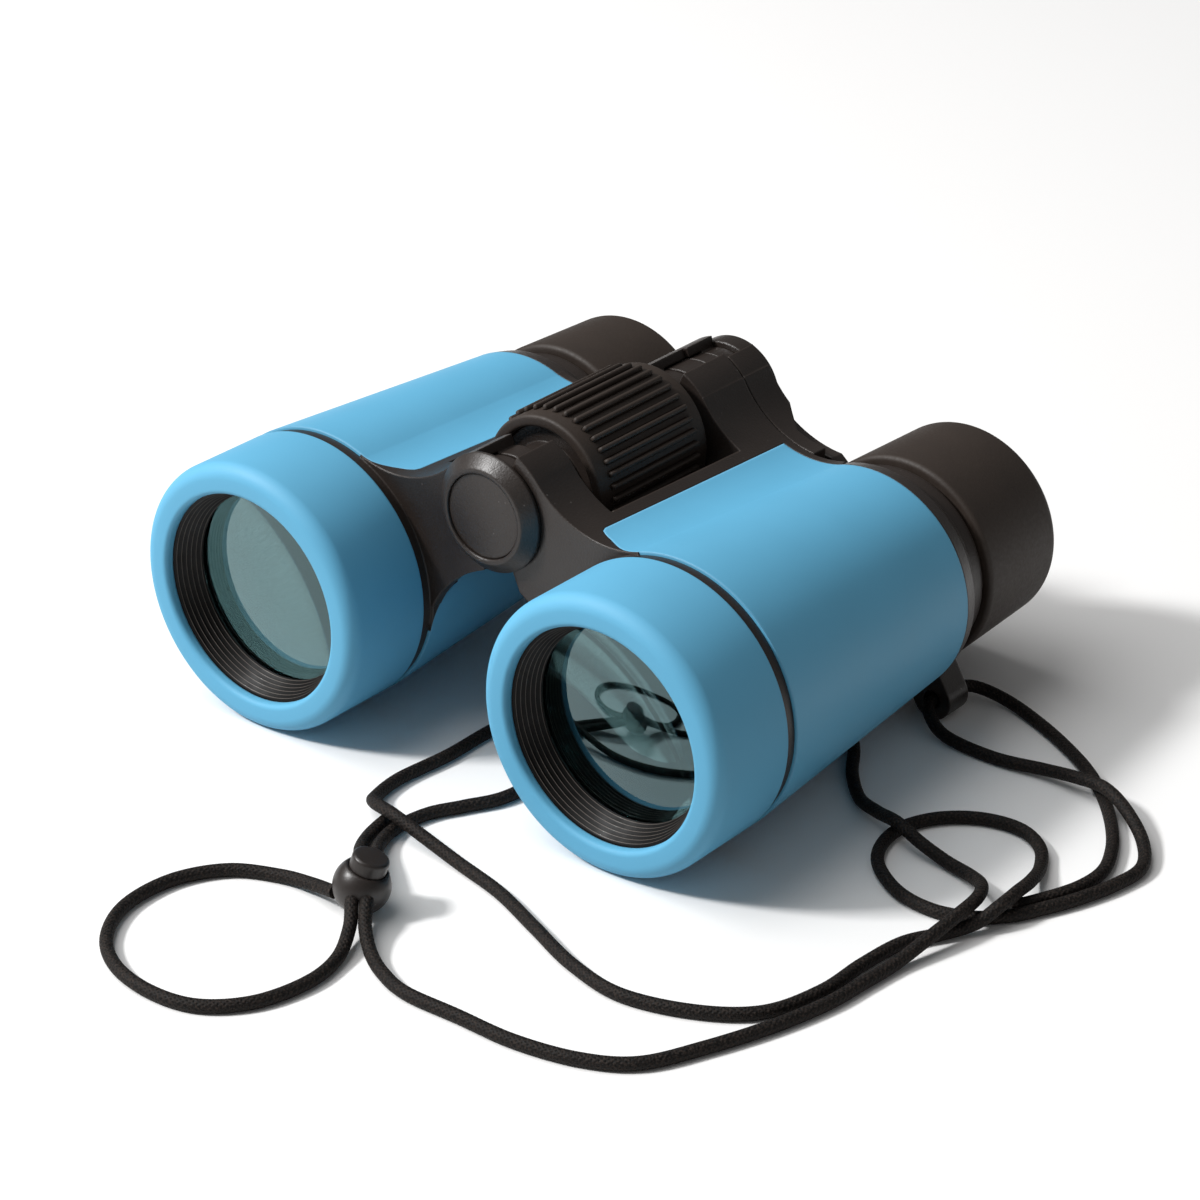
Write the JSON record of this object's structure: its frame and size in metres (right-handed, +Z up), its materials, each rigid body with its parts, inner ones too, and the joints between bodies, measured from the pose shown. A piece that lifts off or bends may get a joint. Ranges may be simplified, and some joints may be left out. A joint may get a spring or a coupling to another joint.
{
  "type": "toy binoculars",
  "caption": "Toy binoculars with tapered rubber-gripped barrels on a folding centre hinge, a ribbed focus wheel that moves both eyepieces, rubber eyecups and a neck cord with a cord lock.",
  "frame": {"origin": "centre of the binoculars' footprint on the surface they stand on, cord left out", "axes": "+X towards the right barrel, -Y the way the objectives look, +Z up"},
  "size_m": [0.1529, 0.1592, 0.0529],
  "materials": {
    "black_plastic": "satin",
    "blue_rubber": "satin",
    "blue_plastic": "satin",
    "baffle_black": "matt",
    "lens_glass": "polished",
    "black_rubber": "matt",
    "steel": "bright",
    "white_plastic": "satin",
    "lock_plastic": "satin",
    "cord": "braided"
  },
  "bodies": {
    "right_half": {"right_body": "black_plastic", "right_grip": "blue_rubber", "right_front_ring": "blue_plastic", "right_lens_cell": "baffle_black", "right_objective_lens": "lens_glass", "right_lens_retainer": "baffle_black", "hinge_axle": "steel", "hinge_washers": "white_plastic", "front_cap": "black_plastic", "front_cap_disc": "black_plastic", "cord_lock_ball": "lock_plastic", "cord_lock_spring": "steel", "neck_cord_right": "cord", "neck_cord_front": "cord", "neck_cord_left": "cord", "neck_cord_loop": "cord", "neck_cord_tail": "cord"},
    "left_half": {"left_body": "black_plastic", "left_grip": "blue_rubber", "left_front_ring": "blue_plastic", "left_lens_cell": "baffle_black", "left_objective_lens": "lens_glass", "left_lens_retainer": "baffle_black"},
    "focus_wheel": {"focus_wheel_core": "black_plastic", "focus_wheel_tyre": "black_rubber"},
    "right_eyepiece": {"right_focus_arm": "black_plastic", "right_eyepiece_tube": "black_plastic", "right_eyecup": "black_rubber", "right_eye_lens": "lens_glass", "focus_screw": "white_plastic", "rear_cap": "black_plastic"},
    "left_eyepiece": {"left_focus_arm": "black_plastic", "left_eyepiece_tube": "black_plastic", "left_eyecup": "black_rubber", "left_eye_lens": "lens_glass"},
    "lock_button": {"cord_lock_button": "lock_plastic"}
  },
  "joints": [
    {"name": "fold", "type": "hinge", "parent": "right_half", "child": "left_half", "pos_m": [0, 0, 0.041], "axis": [0, -1, 0], "range_deg": [0, 30], "deforming": ["neck_cord_left", "neck_cord_right"]},
    {"name": "focus_turn", "type": "hinge", "parent": "right_half", "child": "focus_wheel", "pos_m": [0, 0, 0.041], "axis": [0, 1, 0], "range_deg": [0, 270]},
    {"name": "right_focus", "type": "slide", "parent": "right_half", "child": "right_eyepiece", "axis": [0, 1, 0], "range_m": [0, 0.005]},
    {"name": "left_focus", "type": "slide", "parent": "left_half", "child": "left_eyepiece", "axis": [0, 1, 0], "range_m": [0, 0.005]},
    {"name": "lock_press", "type": "slide", "parent": "right_half", "child": "lock_button", "axis": [-0.2471, -0.1855, -0.9511], "range_m": [0, 0.0012], "stiffness_N_per_m": 300, "deforming": ["cord_lock_spring"]}
  ],
  "couplings": [
    {"joint": "focus_turn", "follows": "right_focus", "rad_per_m": 942.48},
    {"joint": "left_focus", "follows": "right_focus", "ratio": 1}
  ]
}
